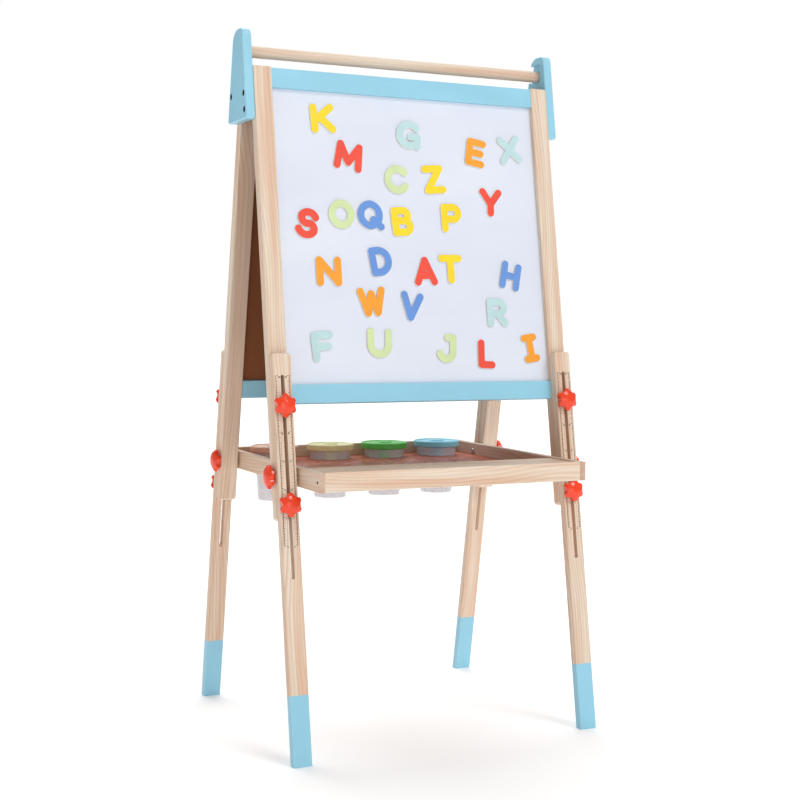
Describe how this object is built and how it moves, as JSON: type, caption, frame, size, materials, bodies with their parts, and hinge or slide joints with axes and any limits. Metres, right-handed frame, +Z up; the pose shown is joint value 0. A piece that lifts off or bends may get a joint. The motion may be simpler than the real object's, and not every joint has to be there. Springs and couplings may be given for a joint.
{
  "type": "children's easel",
  "caption": "Folding double-sided easel with whiteboard and chalkboard frames, slotted adjustable legs with star knobs, level tray with lidded cups, paper rod and magnetic letters.",
  "frame": {"origin": "on the floor, under the middle of the easel's overall box", "axes": "+X across the boards, to the right as seen from the whiteboard side; +Y from the whiteboard side to the chalkboard side; +Z up"},
  "size_m": [0.652, 0.5416, 1.3034],
  "materials": {
    "pine": "clear satin lacquer",
    "painted_wood": "pale blue satin paint",
    "leg_wood": "clear lacquer, foot dipped in blue paint",
    "whiteboard_film": "glossy dry-wipe film on fibreboard",
    "chalkboard_face": "matt chalkboard paint on brown fibreboard",
    "tray_film": "glossy red-brown film on fibreboard",
    "red_knob": "glossy moulded red",
    "steel": "zinc plated",
    "dark_screw": "black oxide",
    "cup_plastic": "clear frosted",
    "lid_natural": "glossy moulded",
    "lid_yellow": "glossy moulded",
    "lid_green": "glossy moulded",
    "lid_blue": "glossy moulded",
    "letters_red": "painted fibreboard with a magnet sheet",
    "letters_orange": "painted fibreboard with a magnet sheet",
    "letters_yellow": "painted fibreboard with a magnet sheet",
    "letters_green": "painted fibreboard with a magnet sheet",
    "letters_aqua": "painted fibreboard with a magnet sheet",
    "letters_blue": "painted fibreboard with a magnet sheet"
  },
  "bodies": {
    "front_frame": {"front_stile_left": "pine", "front_stile_right": "pine", "front_top_rail": "painted_wood", "front_bottom_rail": "painted_wood", "whiteboard": "whiteboard_film", "head_cheek_left": "painted_wood", "head_cheek_right": "painted_wood", "cheek_screws": "dark_screw", "hinge_bolt_left": "dark_screw", "hinge_bolt_right": "dark_screw", "front_clamp_bolts_left": "steel", "front_clamp_bolts_right": "steel"},
    "rear_frame": {"rear_stile_left": "pine", "rear_stile_right": "pine", "rear_top_rail": "painted_wood", "rear_bottom_rail": "painted_wood", "chalkboard": "chalkboard_face", "rear_clamp_bolts_left": "steel", "rear_clamp_bolts_right": "steel", "rear_tray_studs": "steel"},
    "tray": {"tray_side_left": "pine", "tray_side_right": "pine", "tray_front_board": "pine", "tray_rear_board": "pine", "tray_ledge": "pine", "tray_floor": "tray_film", "tray_bolts": "steel", "tray_screws": "dark_screw"},
    "front_leg_left": {"front_leg_left": "leg_wood"},
    "front_leg_right": {"front_leg_right": "leg_wood"},
    "rear_leg_left": {"rear_leg_left": "leg_wood"},
    "rear_leg_right": {"rear_leg_right": "leg_wood"},
    "paper_rod": {"paper_rod": "pine"},
    "cup_1": {"cup_1": "cup_plastic"},
    "lid_1": {"lid_1": "lid_natural"},
    "cup_2": {"cup_2": "cup_plastic"},
    "lid_2": {"lid_2": "lid_yellow"},
    "cup_3": {"cup_3": "cup_plastic"},
    "lid_3": {"lid_3": "lid_green"},
    "cup_4": {"cup_4": "cup_plastic"},
    "lid_4": {"lid_4": "lid_blue"},
    "letters_red": {"letters_red": "letters_red"},
    "letters_orange": {"letters_orange": "letters_orange"},
    "letters_yellow": {"letters_yellow": "letters_yellow"},
    "letters_green": {"letters_green": "letters_green"},
    "letters_aqua": {"letters_aqua": "letters_aqua"},
    "letters_blue": {"letters_blue": "letters_blue"},
    "front_lower_knob_left": {"front_lower_knob_left": "red_knob"},
    "front_upper_knob_left": {"front_upper_knob_left": "red_knob"},
    "rear_lower_knob_left": {"rear_lower_knob_left": "red_knob"},
    "rear_upper_knob_left": {"rear_upper_knob_left": "red_knob"},
    "tray_front_knob_left": {"tray_front_knob_left": "red_knob"},
    "tray_rear_knob_left": {"tray_rear_knob_left": "red_knob"},
    "front_lower_knob_right": {"front_lower_knob_right": "red_knob"},
    "front_upper_knob_right": {"front_upper_knob_right": "red_knob"},
    "rear_lower_knob_right": {"rear_lower_knob_right": "red_knob"},
    "rear_upper_knob_right": {"rear_upper_knob_right": "red_knob"},
    "tray_front_knob_right": {"tray_front_knob_right": "red_knob"},
    "tray_rear_knob_right": {"tray_rear_knob_right": "red_knob"}
  },
  "joints": [
    {"name": "rear_frame_fold", "type": "hinge", "parent": "front_frame", "child": "rear_frame", "pos_m": [0, 0.03091, 1.18437], "axis": [1, 0, 0], "range_deg": [-19, 0]},
    {"name": "tray_tilt", "type": "hinge", "parent": "front_frame", "child": "tray", "pos_m": [0, -0.15138, 0.49416], "axis": [1, 0, 0], "range_deg": [-80, 0]},
    {"name": "front_leg_left_length", "type": "slide", "parent": "front_frame", "child": "front_leg_left", "axis": [0, -0.1616, -0.9869], "range_m": [-0.126, 0.052]},
    {"name": "front_leg_right_length", "type": "slide", "parent": "front_frame", "child": "front_leg_right", "axis": [0, -0.1616, -0.9869], "range_m": [-0.126, 0.052]},
    {"name": "rear_leg_left_length", "type": "slide", "parent": "rear_frame", "child": "rear_leg_left", "axis": [0, 0.1754, -0.9845], "range_m": [-0.126, 0.052]},
    {"name": "rear_leg_right_length", "type": "slide", "parent": "rear_frame", "child": "rear_leg_right", "axis": [0, 0.1754, -0.9845], "range_m": [-0.126, 0.052]},
    {"name": "paper_rod_lift_out", "type": "slide", "parent": "front_frame", "child": "paper_rod", "axis": [0, 0.9397, 0.342], "range_m": [0, 0.1]},
    {"name": "cup_1_lift", "type": "slide", "parent": "tray", "child": "cup_1", "axis": [0, 0, 1], "range_m": [0, 0.082]},
    {"name": "lid_1_lift", "type": "slide", "parent": "cup_1", "child": "lid_1", "axis": [0, 0, 1], "range_m": [0, 0.015]},
    {"name": "cup_2_lift", "type": "slide", "parent": "tray", "child": "cup_2", "axis": [0, 0, 1], "range_m": [0, 0.082]},
    {"name": "lid_2_lift", "type": "slide", "parent": "cup_2", "child": "lid_2", "axis": [0, 0, 1], "range_m": [0, 0.015]},
    {"name": "cup_3_lift", "type": "slide", "parent": "tray", "child": "cup_3", "axis": [0, 0, 1], "range_m": [0, 0.082]},
    {"name": "lid_3_lift", "type": "slide", "parent": "cup_3", "child": "lid_3", "axis": [0, 0, 1], "range_m": [0, 0.015]},
    {"name": "cup_4_lift", "type": "slide", "parent": "tray", "child": "cup_4", "axis": [0, 0, 1], "range_m": [0, 0.082]},
    {"name": "lid_4_lift", "type": "slide", "parent": "cup_4", "child": "lid_4", "axis": [0, 0, 1], "range_m": [0, 0.015]},
    {"name": "letters_red_pull_off", "type": "slide", "parent": "front_frame", "child": "letters_red", "axis": [0, -0.9869, 0.1616], "range_m": [0, 0.03]},
    {"name": "letters_orange_pull_off", "type": "slide", "parent": "front_frame", "child": "letters_orange", "axis": [0, -0.9869, 0.1616], "range_m": [0, 0.03]},
    {"name": "letters_yellow_pull_off", "type": "slide", "parent": "front_frame", "child": "letters_yellow", "axis": [0, -0.9869, 0.1616], "range_m": [0, 0.03]},
    {"name": "letters_green_pull_off", "type": "slide", "parent": "front_frame", "child": "letters_green", "axis": [0, -0.9869, 0.1616], "range_m": [0, 0.03]},
    {"name": "letters_aqua_pull_off", "type": "slide", "parent": "front_frame", "child": "letters_aqua", "axis": [0, -0.9869, 0.1616], "range_m": [0, 0.03]},
    {"name": "letters_blue_pull_off", "type": "slide", "parent": "front_frame", "child": "letters_blue", "axis": [0, -0.9869, 0.1616], "range_m": [0, 0.03]},
    {"name": "front_lower_knob_left_turn", "type": "hinge", "parent": "front_frame", "child": "front_lower_knob_left", "pos_m": [-0.2905, -0.18815, 0.44749], "axis": [0, -0.9869, 0.1616], "continuous": true},
    {"name": "front_upper_knob_left_turn", "type": "hinge", "parent": "front_frame", "child": "front_upper_knob_left", "pos_m": [-0.2905, -0.15981, 0.62058], "axis": [0, -0.9869, 0.1616], "continuous": true},
    {"name": "rear_lower_knob_left_turn", "type": "hinge", "parent": "rear_frame", "child": "rear_lower_knob_left", "pos_m": [-0.2902, 0.19156, 0.44643], "axis": [0, 0.9845, 0.1754], "continuous": true},
    {"name": "rear_upper_knob_left_turn", "type": "hinge", "parent": "rear_frame", "child": "rear_upper_knob_left", "pos_m": [-0.2902, 0.1608, 0.61911], "axis": [0, 0.9845, 0.1754], "continuous": true},
    {"name": "tray_front_knob_left_turn", "type": "hinge", "parent": "tray", "child": "tray_front_knob_left", "pos_m": [-0.3083, -0.15138, 0.49416], "axis": [-1, 0, 0], "continuous": true},
    {"name": "tray_rear_knob_left_turn", "type": "hinge", "parent": "rear_frame", "child": "tray_rear_knob_left", "pos_m": [-0.308, 0.15386, 0.49416], "axis": [-1, 0, 0], "continuous": true},
    {"name": "front_lower_knob_right_turn", "type": "hinge", "parent": "front_frame", "child": "front_lower_knob_right", "pos_m": [0.2905, -0.18815, 0.44749], "axis": [0, -0.9869, 0.1616], "continuous": true},
    {"name": "front_upper_knob_right_turn", "type": "hinge", "parent": "front_frame", "child": "front_upper_knob_right", "pos_m": [0.2905, -0.15981, 0.62058], "axis": [0, -0.9869, 0.1616], "continuous": true},
    {"name": "rear_lower_knob_right_turn", "type": "hinge", "parent": "rear_frame", "child": "rear_lower_knob_right", "pos_m": [0.2902, 0.19156, 0.44643], "axis": [0, 0.9845, 0.1754], "continuous": true},
    {"name": "rear_upper_knob_right_turn", "type": "hinge", "parent": "rear_frame", "child": "rear_upper_knob_right", "pos_m": [0.2902, 0.1608, 0.61911], "axis": [0, 0.9845, 0.1754], "continuous": true},
    {"name": "tray_front_knob_right_turn", "type": "hinge", "parent": "tray", "child": "tray_front_knob_right", "pos_m": [0.3083, -0.15138, 0.49416], "axis": [1, 0, 0], "continuous": true},
    {"name": "tray_rear_knob_right_turn", "type": "hinge", "parent": "rear_frame", "child": "tray_rear_knob_right", "pos_m": [0.308, 0.15386, 0.49416], "axis": [1, 0, 0], "continuous": true}
  ]
}
